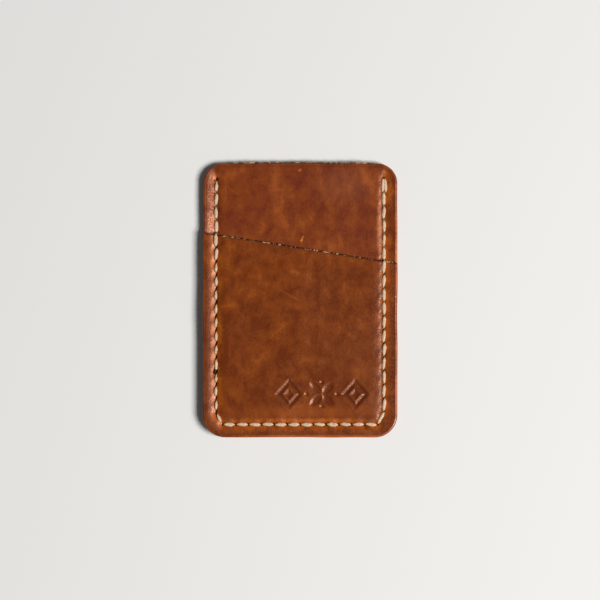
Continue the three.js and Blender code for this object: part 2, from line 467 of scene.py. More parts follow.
def ring(distance, has_mouth):
    """The outline moved inwards, anticlockwise from the bottom right corner."""
    low = BOTTOM_RADIUS - distance
    high = TOP_RADIUS - distance
    x_low, y_low = HALF_WIDTH - BOTTOM_RADIUS, BOTTOM_RADIUS - HALF_HEIGHT
    x_high, y_high = HALF_WIDTH - TOP_RADIUS, HALF_HEIGHT - TOP_RADIUS
    corners = quarter(x_low, y_low, low, -math.pi / 2)
    if has_mouth:
        x = HALF_WIDTH - distance
        drop = distance / math.cos(MOUTH_ANGLE)
        corners += [(x, mouth_y(x) - drop), (-x, mouth_y(-x) - drop)]
    else:
        corners += quarter(x_high, y_high, high, 0)
        corners += quarter(-x_high, y_high, high, math.pi / 2)
    corners += quarter(-x_low, y_low, low, math.pi)
    return sampled(corners, RING_SPACING)


def slit_ring(index, scale):
    centre = slit_centre(index)
    long, short = slit_axes(index)
    half_long, half_short = slit_half(index)
    angles = [2 * math.pi * i / SLIT_STEPS for i in range(SLIT_STEPS)]
    grow = (scale - 1) * SLIT_HALF[1]
    long, short = long * (half_long + grow), short * (half_short + grow)
    return [centre + long * math.cos(a) + short * math.sin(a) for a in angles]


def lattice(spacing):
    """A triangular lattice over the whole outline's box."""
    rows = int(2 * HALF_HEIGHT / (spacing * math.sqrt(0.75)))
    columns = int(2 * HALF_WIDTH / spacing)
    i, j = np.meshgrid(np.arange(columns + 1), np.arange(rows + 1))
    x = -HALF_WIDTH + (i + 0.5 * (j % 2)) * spacing
    y = -HALF_HEIGHT + j * spacing * math.sqrt(0.75)
    return x.ravel(), y.ravel()


def near_slits(x, y, reach):
    near = np.zeros(x.shape, bool)
    for index, hole in enumerate(HOLES):
        close = np.hypot(x - hole[0], y - hole[1]) < SLIT_REACH
        grow = (reach - 1) * SLIT_HALF[1]
        near[close] |= slit_radius(index, x[close], y[close], grow) < 1
    return near


COARSE, MEDIUM, FINE = 0.62, 0.3, 0.15
SEAM_BAND = 2.2
ORNAMENT_BAND = 0.5
HIDDEN_SPACING = 2.0
RING_CLEAR = 0.2  # from the innermost ring to the first point of the lattice
SLIT_CLEAR, HIDDEN_SLIT_CLEAR = 0.3, 1.4  # and from a slit, in widths of a plain one


def inner_points(distance_of, rings, has_ornament, levels):
    """Lattice points inside the rings, closer together along the seam and the ornament."""
    chosen = []
    clear = rings[-1] + RING_CLEAR
    slit_clear = SLIT_RINGS[-1] + SLIT_CLEAR if len(levels) > 1 else HIDDEN_SLIT_CLEAR
    for level, spacing in enumerate(levels):
        x, y = lattice(spacing)
        keep = distance_of(x, y) > clear
        x, y = x[keep], y[keep]
        wanted = (np.abs(seam_inset(x, y)) < SEAM_BAND).astype(int)
        if has_ornament:
            wanted = np.where(np.abs(ornament_distance(x, y)) < ORNAMENT_BAND, 2, wanted)
        keep = np.minimum(wanted, len(levels) - 1) == level
        x, y = x[keep], y[keep]
        keep = ~near_slits(x, y, slit_clear)
        chosen += list(zip(x[keep], y[keep]))
    return chosen


def triangulate(distance_of, rings, has_mouth, hole_indices, has_ornament, levels):
    """Points and triangles over a panel, and the indices of its edge and of each slit's edge."""
    edge = ring(0, has_mouth)
    points = list(edge)
    loops = [list(range(len(edge)))]
    slits = []
    for index in hole_indices:
        loop = slit_ring(index, 1.0)
        slits.append(list(range(len(points), len(points) + len(loop))))
        points += loop
    for distance in rings[1:]:
        points += ring(distance, has_mouth)
    if len(levels) > 1:
        for index in hole_indices:
            for scale in SLIT_RINGS[1:]:
                points += slit_ring(index, scale)
    points += inner_points(distance_of, rings, has_ornament, levels)
    lines = [(a, b) for loop in slits for a, b in zip(loop, loop[1:] + loop[:1])]
    flat = [Vector(p) for p in points]
    found, _, faces, sources, _, _ = delaunay_2d_cdt(flat, lines, loops, 1, 1e-5)
    place = {old: new for new, olds in enumerate(sources) for old in olds}
    xy = np.array([(p[0], p[1]) for p in found])
    faces = np.array(faces)
    centre = xy[faces].mean(axis=1)
    inside = np.zeros(len(faces), bool)
    for index in hole_indices:
        close = np.hypot(*(centre - slit_centre(index)).T) < SLIT_REACH
        inside[close] |= slit_radius(index, centre[close, 0], centre[close, 1]) < 0.999
    faces = faces[~inside]
    edge = [place[i] for i in loops[0]]
    slits = [[place[i] for i in loop] for loop in slits]
    return xy, faces, edge, slits


# ---- a panel as one closed body ----

WALL_ROWS = 5
SHARP_ANGLE = 55
TOP_BOW = 0.3  # the top edge's ends lie this much lower than its middle
SIDE_WAVE, SIDE_WAVE_SIZE = 0.07, 34
END_WAVE, END_WAVE_SIZE = 0.06, 31
TOP_NARROW = 0.24  # the top left edge was cut this much further in


def warp(x, y):
    """The hand-cut outline: slightly wavy, narrower at the top left, and bowed at the top."""
    near_top = smoothstep(0.6, 1, y / HALF_HEIGHT)
    bow = TOP_BOW * near_top * ((x / HALF_WIDTH) ** 2)
    wave_x = SIDE_WAVE * waves(y, y, SIDE_WAVE_SIZE, SEED) * np.abs(x) / HALF_WIDTH
    wave_y = END_WAVE * waves(x, x, END_WAVE_SIZE, SEED + 1) * np.abs(y) / HALF_HEIGHT
    narrow = TOP_NARROW * smoothstep(20, 27, y) * smoothstep(-10, -35, x)
    return x * (1 - SIDE_WAVE / HALF_WIDTH) + wave_x + narrow, y - bow + wave_y


def filled_mesh(name, points, faces, values):
    mesh = bpy.data.meshes.new(name)
    mesh.from_pydata((points * MM).tolist(), [], faces)
    for key, numbers in values.items():
        mesh.attributes.new(key, "FLOAT", "POINT").data.foreach_set("value", numbers)
    mesh.shade_smooth()
    return mesh


class Body:
    """Collects vertices with their attributes, and faces."""

    def __init__(self):
        self.points = []
        self.faces = []
        self.values = {key: [] for key in ("edge", "sunk", "raw", "flesh", "pressed", "tuft")}

    def add(self, x, y, z, **values):
        start = sum(len(p) for p in self.points)
        self.points.append(np.stack([x, y, z], axis=1))
        for key, stored in self.values.items():
            stored.append(np.broadcast_to(values.get(key, 0.0), x.shape).astype(float))
        return start

    def mesh(self, name):
        values = {key: np.concatenate(stored) for key, stored in self.values.items()}
        mesh = filled_mesh(name, np.concatenate(self.points), self.faces, values)
        mesh.set_sharp_from_angle(angle=math.radians(SHARP_ANGLE))
        mesh.validate()
        return mesh


def tube_faces(start, rings, sides):
    """Quads round a tube, from ring to ring."""
    faces = []
    for i in range(rings - 1):
        a, b = start + i * sides, start + (i + 1) * sides
        for j in range(sides):
            k = (j + 1) % sides
            faces.append((a + j, a + k, b + k, b + j))
    return faces


def wall(body, upper, lower, rows):
    """Quads between two loops of the same length, through the given rows of new vertices."""
    loops = [upper, *rows, lower]
    for above, below in zip(loops[:-1], loops[1:]):
        count = len(above)
        for i in range(count):
            j = (i + 1) % count
            body.faces.append((above[i], below[i], below[j], above[j]))


def edge_normals(xy):
    along = units(np.roll(xy, -1, axis=0) - np.roll(xy, 1, axis=0))
    return np.stack([along[:, 1], -along[:, 0]], axis=1)


RAW_AND_SHADOW_WIDE = 0.42  # how far in from a raw cut its dark fibres show; along the mouth this band also paints the lip's shadow


def panel_body(grain, flesh, has_mouth, hole_indices, up, grain_edge, raw_at):
    """A panel between its grain face, which looks up (1) or down (-1), and its flesh face."""
    distance_of = front_distance if has_mouth else outline_distance
    body = Body()
    sides = []
    for height, rings, levels, is_flesh in (
        (grain, GRAIN_RINGS, (COARSE, MEDIUM, FINE), 0.0),
        (flesh, FLESH_RINGS, (HIDDEN_SPACING,), 1.0),
    ):
        shaped = has_mouth and not is_flesh
        xy, faces, edge, slits = triangulate(
            distance_of, rings, has_mouth, hole_indices, shaped, levels
        )
        x, y = xy.T
        distance = distance_of(x, y)
        z = height(x, y)
        outwards = -up if is_flesh else up
        if is_flesh:
            z = z - outwards * rounding(distance, *ROUND_INNER)
        else:
            z = z - outwards * grain_edge(x, y)
        start = body.add(
            *warp(x, y),
            z,
            edge=outline_distance(x, y),
            sunk=seam_relief(x, y, FRONT_GROOVE),
            raw=raw_at(x, y) * bell(distance, RAW_AND_SHADOW_WIDE),
            flesh=is_flesh,
            pressed=pressed_share(ornament_distance(x, y)) if shaped else 0.0,
        )
        order = faces if outwards > 0 else faces[:, ::-1]
        body.faces += [tuple(int(i) + start for i in face) for face in order]
        sides.append((np.array(edge) + start, [np.array(s) + start for s in slits], xy, z, edge))
    join_edge(body, sides, up, raw_at)
    join_slits(body, sides, up)
    return body


EDGE_BULGE = 0.07
RAW_ROUGH, RAW_ROUGH_SIZE = 0.16, 0.9
RAW_DEEPEST = -0.1


def join_edge(body, sides, up, raw_at):
    (top, _, xy, top_z, edge), (bottom, _, _, bottom_z, bottom_edge) = sides
    plan = xy[edge]
    x, y = plan.T
    normals = edge_normals(plan)
    raw = raw_at(x, y)
    rows = []
    z0, z1 = top_z[edge], bottom_z[bottom_edge]
    for row in range(1, WALL_ROWS):
        t = row / WALL_ROWS
        rough = RAW_ROUGH * raw * waves(x, y + 40 * t, RAW_ROUGH_SIZE, SEED + 5)
        out = EDGE_BULGE * math.sin(math.pi * t) + np.maximum(rough, RAW_DEEPEST)
        wx, wy = warp(x + normals[:, 0] * out, y + normals[:, 1] * out)
        start = body.add(wx, wy, z0 + (z1 - z0) * t, edge=0.0, raw=raw)
        rows.append(list(range(start, start + len(x))))
    wall(body, list(top)[::up], list(bottom)[::up], [r[::up] for r in rows])


def join_slits(body, sides, up):
    for top, bottom in zip(sides[0][1], sides[1][1]):
        wall(body, list(top)[::-up], list(bottom)[::-up], [])


def no_raw(x, y):
    return np.zeros(x.shape)


def raw_mouth(x, y):
    """The mouth was cut and left raw, with its fibres standing; the dark colour laid along it also
    paints the shadow of the pocket's lip.
    """
    return smoothstep(0.6, 0.1, np.abs(mouth_distance(x, y))) * smoothstep(35.4, 34.6, np.abs(x))


def raw_top(x, y):
    return smoothstep(49.0, 49.8, y) * smoothstep(28, 24, np.abs(x))


def front_edge(x, y):
    outline, mouth = outline_distance(x, y), mouth_distance(x, y)
    return np.where(mouth < outline, rounding(mouth, *ROUND_MOUTH), edge_relief(outline))


def middle_edge(x, y):
    """The bevel ends where the front panel covers the edge."""
    free = above_mouth(x, y)
    distance = outline_distance(x, y)
    return free * edge_relief(distance) + (1 - free) * rounding(distance, *ROUND_INNER)


def back_edge(x, y):
    return edge_relief(outline_distance(x, y))


def placed(name, data):
    thing = bpy.data.objects.new(name, data)
    bpy.context.scene.collection.objects.link(thing)
    return thing


def add_piece(name, mesh, material, node):
    piece = placed(name, mesh)
    piece.data.materials.append(material)
    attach(piece, "root")
    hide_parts(node)


MOUTH_CLEAR = 1.2  # a hole nearer to the mouth than this is outside the front panel
ALL_HOLES = list(range(LAST + 1))
FRONT_HOLES = [i for i in ALL_HOLES if HOLES[i][1] < mouth_y(HOLES[i][0]) - MOUTH_CLEAR]


# ---- fibres standing from the raw cuts ----

FIBRE_SIDES, FIBRE_STEPS = 5, 5
FIBRE_CURL, FIBRE_TAPER = 0.5, 0.75  # shares of its length and of its radius
MOUTH_TUFTS, MOUTH_SINGLES = 11, 60
MOUTH_SPAN, TOP_SPAN = (-29.5, 34.6), (-25, 24)
TUFT_LENGTH, TUFT_RADIUS = (0.35, 0.75), (0.07, 0.12)
SINGLE_LENGTH, SINGLE_RADIUS = (0.25, 0.8), (0.04, 0.08)
TOP_TUFTS = 60
TOP_LENGTH, TOP_THICK = (0.3, 0.75), (0.06, 0.12)


def add_fibre(body, base, direction, length, radius, random):
    """One tapered, curled fibre, closed at both ends."""
    direction = unit(np.array(direction))
    aside = unit(np.cross(direction, (0.3, 0.2, 1.0)))
    upwards = np.cross(aside, direction)
    curl = random.uniform(-FIBRE_CURL, FIBRE_CURL) * length
    rings = []
    for step in range(FIBRE_STEPS):
        t = step / (FIBRE_STEPS - 1)
        centre = np.array(base) + direction * length * t + aside * curl * t * t
        size = radius * (1 - FIBRE_TAPER * t) * random.uniform(0.8, 1.2)
        for side in range(FIBRE_SIDES):
            angle = 2 * math.pi * side / FIBRE_SIDES
            rings.append(centre + size * (aside * math.cos(angle) + upwards * math.sin(angle)))
    start = body.add(*np.array(rings).T, raw=1.0, tuft=1.0, edge=2.0)
    body.faces += tube_faces(start, FIBRE_STEPS, FIBRE_SIDES)
    tip = start + (FIBRE_STEPS - 1) * FIBRE_SIDES
    body.faces.append(tuple(range(start, start + FIBRE_SIDES))[::-1])
    body.faces.append(tuple(range(tip, tip + FIBRE_SIDES)))


def add_mouth_fibre(body, x, lengths, radii, random):
    length, radius = random.uniform(*lengths), random.uniform(*radii)
    y = float(mouth_y(x)) - 0.08
    top = float(front_grain(np.array([x]), np.array([y - 0.2]))[0])
    wx, wy = warp(x, y)
    turn = MOUTH_ANGLE + random.uniform(-0.1, 1.1) * math.pi
    base = (float(wx), float(wy), top - random.uniform(0.1, 0.45))
    way = (math.cos(turn), 0.6 * math.sin(turn), random.uniform(0.0, 0.8))
    add_fibre(body, base, way, length, radius, random)


def add_mouth_fibres(body, random):
    for _ in range(MOUTH_TUFTS):
        middle = random.uniform(*MOUTH_SPAN)
        spread = random.uniform(0.15, 0.5)
        for _ in range(random.integers(5, 10)):
            x = middle + random.normal(0, spread)
            add_mouth_fibre(body, x, TUFT_LENGTH, TUFT_RADIUS, random)
    for _ in range(MOUTH_SINGLES):
        x = random.uniform(*MOUTH_SPAN)
        add_mouth_fibre(body, x, SINGLE_LENGTH, SINGLE_RADIUS, random)


def add_top_fibres(body, random):
    for _ in range(TOP_TUFTS):
        x = random.uniform(*TOP_SPAN)
        wx, wy = warp(x, HALF_HEIGHT)
        for _ in range(random.integers(1, 6)):
            z = MIDDLE_LOW[2] + random.uniform(0.7, 1.0)
            base = (float(wx) + random.normal(0, 0.2), float(wy) - 0.06, z)
            way = (random.uniform(-1.2, 1.2), random.uniform(0.4, 1), random.uniform(0.2, 1))
            length, radius = random.uniform(*TOP_LENGTH), random.uniform(*TOP_THICK)
            add_fibre(body, base, way, length, radius, random)


# ---- materials ----


# The Mix node's colour sockets, which share their names with its other types' sockets.
COLOUR_A, COLOUR_B, COLOUR_OUT = 6, 7, 2


def fill(node, inputs):
    for key, value in inputs.items():
        node.inputs[key].default_value = value


class Nodes:
    """Short names for building a material's node tree."""

    def __init__(self, name):
        self.material = bpy.data.materials.new(name)
        self.material.use_nodes = True
        self.tree = self.material.node_tree
        self.shader = self.tree.nodes["Principled BSDF"]

    def node(self, kind, **settings):
        node = self.tree.nodes.new("ShaderNode" + kind)
        for key, value in settings.items():
            setattr(node, key, value)
        return node

    def link(self, source, target):
        if isinstance(source, bpy.types.NodeSocket):
            self.tree.links.new(source, target)
        else:
            target.default_value = source

    def attribute(self, name):
        return self.node("Attribute", attribute_name=name).outputs["Fac"]

    def place(self, scale):
        """Object coordinates in millimetres, times a scale for each axis."""
        place = self.node("TexCoord").outputs["Object"]
        node = self.node("VectorMath", operation="MULTIPLY")
        self.link(place, node.inputs[0])
        node.inputs[1].default_value = [s / MM for s in scale]
        return node.outputs[0]

    def texture(self, kind, scale, output, **inputs):
        node = self.node(kind)
        self.link(self.place(scale), node.inputs["Vector"])
        fill(node, {"Scale": 1.0, **inputs})
        return node.outputs[output]

    def noise(self, scale, detail=3, rough=0.55, bent=0.0):
        inputs = {"Detail": detail, "Roughness": rough, "Distortion": bent}
        return self.texture("TexNoise", scale, "Fac", **inputs)

    def spot(self, at, half, turn):
        """Distance from a spot's middle in object coordinates, 1 on its outline."""
        node = self.node("Mapping", vector_type="TEXTURE")
        self.link(self.place((1, 1, 0)), node.inputs["Vector"])
        rotation = (0, 0, math.radians(turn))
        fill(node, {"Location": (*at, 0), "Rotation": rotation, "Scale": (*half, 1)})
        length = self.node("VectorMath", operation="LENGTH")
        self.link(node.outputs[0], length.inputs[0])
        return length.outputs["Value"]

    def maths(self, operation, a, b=0.0, clamp=False):
        node = self.node("Math", operation=operation, use_clamp=clamp)
        self.link(a, node.inputs[0])
        self.link(b, node.inputs[1])
        return node.outputs[0]

    def times(self, a, b):
        return self.maths("MULTIPLY", a, b)

    def plus(self, a, b):
        return self.maths("ADD", a, b)

    def swing(self, noise, strength):
        """A noise about zero, times a strength."""
        return self.times(self.maths("SUBTRACT", noise, 0.5), strength)

    def remap(self, value, low, high, to_low=0.0, to_high=1.0):
        node = self.node("MapRange", interpolation_type="SMOOTHSTEP")
        self.link(value, node.inputs["Value"])
        fill(node, {"From Min": low, "From Max": high, "To Min": to_low, "To Max": to_high})
        return node.outputs["Result"]

    def mix(self, factor, a, b):
        node = self.node("Mix", data_type="RGBA")
        self.link(factor, node.inputs["Factor"])
        self.link(a, node.inputs[COLOUR_A])
        self.link(b, node.inputs[COLOUR_B])
        return node.outputs[COLOUR_OUT]

    def bump(self, height, distance):
        node = self.node("Bump")
        fill(node, {"Strength": 1.0, "Distance": distance * MM})
        self.link(height, node.inputs["Height"])
        return node.outputs["Normal"]


def rgb(red, green, blue):
    """A colour given as sRGB from 0 to 255, as the linear values that a shader takes."""
    values = [c / 255 for c in (red, green, blue)]
    linear = [c / 12.92 if c <= 0.04045 else ((c + 0.055) / 1.055) ** 2.4 for c in values]
    return (*linear, 1.0)


# Noise layers: scale of each axis per millimetre, detail, roughness and distortion.
CLOUD = ((0.05, 0.05, 0.05), 4, 0.6, 0.4)
BLOTCH = ((0.21, 0.17, 0.21), 4, 0.6, 0.3)
STREAK = ((1.7, 0.1, 1.7), 3, 0.6)
GRAIN = ((1.9, 1.7, 1.9), 3, 0.65)
FINE_GRAIN = ((1.5, 1.2, 1.5), 5, 0.75)
COMBING = ((3.2, 0.45, 3.2), 3, 0.7)
TUFTS = ((2.1, 2.1, 2.1), 4, 0.7)
PORE_SCALE = (2.1, 2.1, 2.1)
CLOUD_SHARE, BLOTCH_SHARE, STREAK_SHARE, GRAIN_SHARE = 0.28, 0.7, 0.08, 0.26  # of the tone
STRETCH_AND_SHEEN_STRENGTH, PRESS_STRENGTH, SPECK_STRENGTH, COMB_STRENGTH = 0.58, 0.5, 0.42, 0.5
BUMP = 0.07  # height of the grain's bump, in millimetres
MARK_RAGGED = 3.4
COMBED = ((2, -47.6), (31, 1.9), 0)  # fine scratches across the bottom margin
SHEEN_TINT = (1.0, 0.58, 0.42, 1.0)  # the wax takes the leather's colour
DARK_BURNISH = rgb(74, 30, 16)
# Orange of the worn bevel, which also paints the bevel's highlight.
WORN_EDGE_AND_SHEEN = rgb(206, 108, 52)
LIT_EDGE_SIDE = ((26, -14), (44, 58), 0)  # the side where the edge's painted highlight is strongest, towards the key light
# Paler orange where the seam stretches the leather, which also paints the highlight on the seam's
# lit slopes.
PALE_STRETCH_AND_SHEEN = rgb(196, 98, 28)
SPECK = rgb(82, 34, 22)
# The dark of a raw cut, which along the mouth also paints the lip's shadow, and the pale of its
# fibres.
RAW_DARK_AND_SHADOW, RAW_PALE = rgb(78, 40, 22), rgb(222, 188, 146)
SUEDE_DARK, SUEDE_PALE = rgb(120, 72, 40), rgb(172, 116, 74)


def leather_colour(n, tints, tone, grain, blotch):
    dark, middle, light = [rgb(*tint) for tint in tints]
    colour = n.mix(n.remap(tone, 0.36, 0.52), dark, middle)
    colour = n.mix(n.remap(tone, 0.5, 0.68), colour, light)
    # Waxed leather pales where the seam bends it, and that paler orange also paints the highlight
    # on the seam's lit slopes. It darkens where it is pressed in.
    sunk = n.attribute("sunk")
    pulled_and_sheen = n.times(n.remap(sunk, 0.05, 0.4), n.remap(blotch, 0.35, 0.6, 0.3, 1.0))
    colour = n.mix(n.times(pulled_and_sheen, STRETCH_AND_SHEEN_STRENGTH), colour, PALE_STRETCH_AND_SHEEN)
    colour = n.mix(n.times(n.attribute("pressed"), PRESS_STRENGTH), colour, DARK_BURNISH)
    edge = n.attribute("edge")
    # The band along the bevel is worn edge and painted highlight, painted strongest on the side
    # towards the key light.
    worn_and_sheen = n.times(n.remap(edge, 0.1, 0.3), n.remap(edge, 0.5, 0.75, 1.0, 0.0))
    patches = n.times(n.remap(grain, 0.3, 0.6, 0.4, 1.0), n.remap(blotch, 0.4, 0.6, 0.3, 1.0))
    lit_side = n.remap(n.spot(*LIT_EDGE_SIDE), 0.5, 1.25, 0.7, 0.12)
    worn_and_sheen = n.times(worn_and_sheen, n.times(patches, lit_side))
    colour = n.mix(worn_and_sheen, colour, WORN_EDGE_AND_SHEEN)
    creased = n.times(n.remap(edge, 0.6, 0.9), n.remap(edge, 1.0, 2.2, 0.3, 0.0))
    burnish = n.maths("MAXIMUM", n.remap(edge, 0.0, 0.25, 0.4, 0.0), creased)
    return n.mix(burnish, colour, DARK_BURNISH)


def leather_material(name, tints, marks_and_painted_light=(), dry_marks=()):
    n = Nodes(name)
    cloud, blotch, streak, grain = [n.noise(*layer) for layer in (CLOUD, BLOTCH, STREAK, GRAIN)]
    tone = n.plus(n.times(cloud, CLOUD_SHARE), n.times(blotch, BLOTCH_SHARE))
    tone = n.plus(tone, n.swing(streak, STREAK_SHARE))
    tone = n.plus(tone, n.swing(grain, GRAIN_SHARE))
    colour = leather_colour(n, tints, tone, grain, blotch)
    fine = n.noise(*FINE_GRAIN)
    # The margins are grained, and the leather that the stitches pull down is smooth.
    sunk = n.attribute("sunk")
    grained = n.times(n.remap(sunk, 0.02, 0.18, 0.15, 1.0), n.remap(sunk, 0.22, 0.42, 1.0, 0.2))
    specks = n.times(n.remap(fine, 0.5, 0.62), grained)
    colour = n.mix(n.times(specks, SPECK_STRENGTH), colour, SPECK)
    combed = n.times(n.remap(n.noise(*COMBING), 0.5, 0.62), COMB_STRENGTH)
    combed = n.times(combed, n.remap(n.spot(*COMBED), 0.7, 1.15, 1.0, 0.0))
    colour = n.mix(combed, colour, SPECK)
    for at, half, turn, tint, strength in marks_and_painted_light:
        torn = n.swing(fine, MARK_RAGGED)
        ragged = n.plus(n.spot(at, half, turn), torn)
        colour = n.mix(n.remap(ragged, 0.15, 1.2, strength, 0.0), colour, rgb(*tint))
    # Raw cuts are dark with pale tufts; along the mouth the dark band also paints the lip's shadow.
    raw = n.attribute("raw")
    pale = n.maths("MAXIMUM", n.remap(n.noise(*TUFTS), 0.6, 0.7), n.attribute("tuft"))
    colour = n.mix(raw, colour, n.mix(pale, RAW_DARK_AND_SHADOW, RAW_PALE))
    flesh = n.attribute("flesh")
    colour = n.mix(flesh, colour, n.mix(n.remap(grain, 0.35, 0.65), SUEDE_DARK, SUEDE_PALE))
    n.link(colour, n.shader.inputs["Base Color"])
    rough = n.plus(n.remap(blotch, 0.3, 0.7, 0.25, 0.3), n.times(specks, 0.32))
    for at, half, turn, amount in dry_marks:
        rough = n.plus(rough, n.remap(n.spot(at, half, turn), 0.2, 1.2, amount, 0.0))
    dull = n.times(n.maths("MAXIMUM", flesh, raw), 0.4)
    rough = n.maths("ADD", rough, dull, clamp=True)
    n.link(rough, n.shader.inputs["Roughness"])
    n.shader.inputs["Specular Tint"].default_value = SHEEN_TINT
    pores = n.texture("TexVoronoi", PORE_SCALE, "Distance")
    height = n.plus(n.times(grain, 0.9), n.times(pores, 0.55))
    height = n.times(height, n.remap(grained, 0.15, 1.0, 0.55, 1.0))
    height = n.plus(n.plus(height, n.times(streak, 0.2)), n.times(specks, 0.4))
    n.link(n.bump(height, BUMP), n.shader.inputs["Normal"])
    return n.material


def thread_material():
    n = Nodes("waxed_thread")
    tone = n.noise((1.2, 1.2, 1.2), 3)
    fibre = n.noise((9.0, 9.0, 9.0), 3, 0.7)
    value = n.plus(n.times(tone, 0.6), n.times(fibre, 0.4))
    colour = n.mix(n.remap(value, 0.35, 0.65), rgb(194, 158, 122), rgb(228, 198, 164))
    # Painted shade: the thread darkens where it tucks down into its hole.
    colour = n.mix(n.remap(n.attribute("tuck"), 0.25, 1.0, 0.0, 0.85), colour, rgb(104, 62, 28))
    # Painted shade in the grooves between the twisted plies.
    colour = n.mix(n.times(n.attribute("groove"), 0.42), colour, rgb(150, 112, 78))
    n.link(colour, n.shader.inputs["Base Color"])
    n.shader.inputs["Roughness"].default_value = 0.5
    n.link(n.bump(fibre, 0.05), n.shader.inputs["Normal"])
    return n.material


# Marks, painted highlights and painted shade on the two visible faces: middle, half sizes, turn in
# degrees, tint and strength.
# Some were seen as wear. The broad ones only bring an area's tone to the photograph's.
YELLOWED, SCRATCHED = (186, 104, 14), (164, 86, 32)
MIDDLE_MARKS_AND_PAINTED_LIGHT = (
    ((-9.3, 43.0), (2.1, 7.5), -4, (160, 82, 32), 0.5),
    ((-5.9, 28.6), (2.1, 6.0), 20, (158, 80, 26), 0.5),
    ((0.7, 22.1), (0.42, 1.35), -22, (214, 122, 44), 0.9),
    ((0.0, 47.3), (0.8, 0.45), 10, (200, 112, 44), 0.7),
    ((-27.1, 39.9), (0.3, 1.7), 5, SCRATCHED, 0.45),
    ((-24.4, 39.7), (0.26, 2.9), 58, SCRATCHED, 0.35),
    ((32.6, 39.0), (1.5, 6.5), 0, (186, 96, 26), 0.6),
    ((32.5, 21.5), (1.3, 3.6), 0, (180, 92, 28), 0.5),
    # Painted sheen: pale pink over the left margin, where its slope meets the key light.
    ((-32.5, 24), (2.2, 12), 0, (222, 150, 124), 0.42),
    # Painted highlight: the lit band inside the right column of stitches.
    ((28.9, 27), (0.9, 14), 0, (222, 146, 104), 0.4),
)
MIDDLE_DRY = (((15.5, 42), (15, 8.5), 0, 0.13),)
FRONT_MARKS_AND_PAINTED_LIGHT = (
    ((-3.4, 1.6), (5.2, 0.45), -28, (166, 86, 26), 0.35),
    ((-0.6, -2.4), (3.4, 1.8), -10, (160, 80, 20), 0.4),
    ((-16.5, -13.7), (0.42, 0.38), 0, (40, 22, 12), 0.8),
    # A broad darker patch over the lower right: partly the leather's tone, partly painted shade
    # against the key light's sheen and nearer fall there.
    ((24, -27), (40, 44), 0, (84, 32, 8), 0.34),
    ((-29.6, 5), (1.4, 4.5), 0, YELLOWED, 0.36),
    ((-29.6, -11), (1.6, 6.5), 0, YELLOWED, 0.4),
    ((-29.7, -32), (1.4, 8.5), 0, YELLOWED, 0.36),
    # Painted highlights: two orange bands over the slopes above the bottom seam, which face the key
    # light.
    ((3, SEAM_BOTTOM + 1.4), (30, 1.0), 0, (206, 104, 26), 0.42),
    ((3, SEAM_BOTTOM + 4.4), (31, 2.8), 0, (168, 84, 28), 0.28),
    # Painted highlight along the bottom edge's bevel.
    ((5, -49.8), (33, 0.9), 0, (214, 112, 40), 0.32),
    ((-33, -14), (1.5, 32), 0, (88, 42, 32), 0.42),
    ((33.6, -14), (1.2, 28), 0, (84, 34, 12), 0.4),
)
FRONT_DRY = (((-32, -14), (2.6, 34), 0, 0.07),)
TAN = ((98, 40, 10), (116, 52, 12), (142, 70, 16))  # dark, middle and light
REDDER_TAN = ((102, 40, 20), (118, 52, 18), (144, 70, 22))
FRONT_LEATHER = leather_material("leather_front", TAN, FRONT_MARKS_AND_PAINTED_LIGHT, FRONT_DRY)
MIDDLE_LEATHER = leather_material("leather_middle", REDDER_TAN, MIDDLE_MARKS_AND_PAINTED_LIGHT, MIDDLE_DRY)
BACK_LEATHER = leather_material("leather_back", TAN)
WAXED_THREAD = thread_material()


# ---- thread ----

HOLE_HALF = 0.26
STITCH_HALF = (0.65, 0.36)
FLAT_WIDER = 1.12  # along the bottom the strand is pressed a little flatter
# The melted end, a small bead at the back panel: height, half width and tuck of its rows.
BEAD = ((0.6, HOLE_HALF, 1), (-0.25, HOLE_HALF, 0.8), (-0.45, 0.5, 0.3), (-0.7, 0.5, 0.3))
BEAD += ((-0.85, 0.2, 0.3),)
BEAD_LIFT = 0.3
LEFT_DIVE, BOTTOM_DIVE, RIGHT_DIVE = 0.92, 0.36, 0.28  # where a strand goes down, from its hole
UPPER_LEFT_DIVE = 0.46
PAIR_DIVE = 0.1  # the doubled stitch fills its holes
OVER_MOUTH_DIVE = 0.05  # and so does the stitch that climbs over the pocket's lip
DIVE_WIDE = 0.62
DIVE_DEPTH = 0.5
LIE_HEIGHT = 0.25  # height of a stitch's middle line over the groove
HIDDEN_DEPTH = 1.9
HOLE_LANE, LYING_LANE = 0.28, 0.06  # to its side of the seam, in a hole and on the face
TAPER_SHORT, TAPER_LONG = 0.95, 1.7  # how far from a hole a stitch has its full width
THREAD_SIDES = 16
THREAD_STEP = 0.16
TIP = 0.1
PLY_TURN = 2.4  # length of one turn of the twisted plies
PLIES = 3
PLY_DEPTH = 0.045
FIBRE_DEPTH = 0.06  # loose fibres make a stitch's width uneven
PAIR_SPREAD = (0.56, 0.32)  # how far apart the doubled strands lie, at the lower and the upper hole
PAIR_NARROW = 0.86
LEFT_NARROW = 0.85  # the left column's stitches are pulled tight, so they look thinner
FIRST_SLIDE = 0.85  # the first hole holds one strand less, so it stays open beside it
TORN_SLIDE = 0.7  # the torn hole let the thread slip along the seam by this much


def face_height(x, y, side):
    """The leather's height along the seam, without its puckers."""
    if side < 0:
        return BACK_MARGIN + FRONT_GROOVE + BED_DEPTH
    if mouth_distance(x, y) > 0:
        return FRONT_MARGIN - FRONT_GROOVE - BED_DEPTH
    return MIDDLE_TOP - MIDDLE_GROOVE - BED_DEPTH


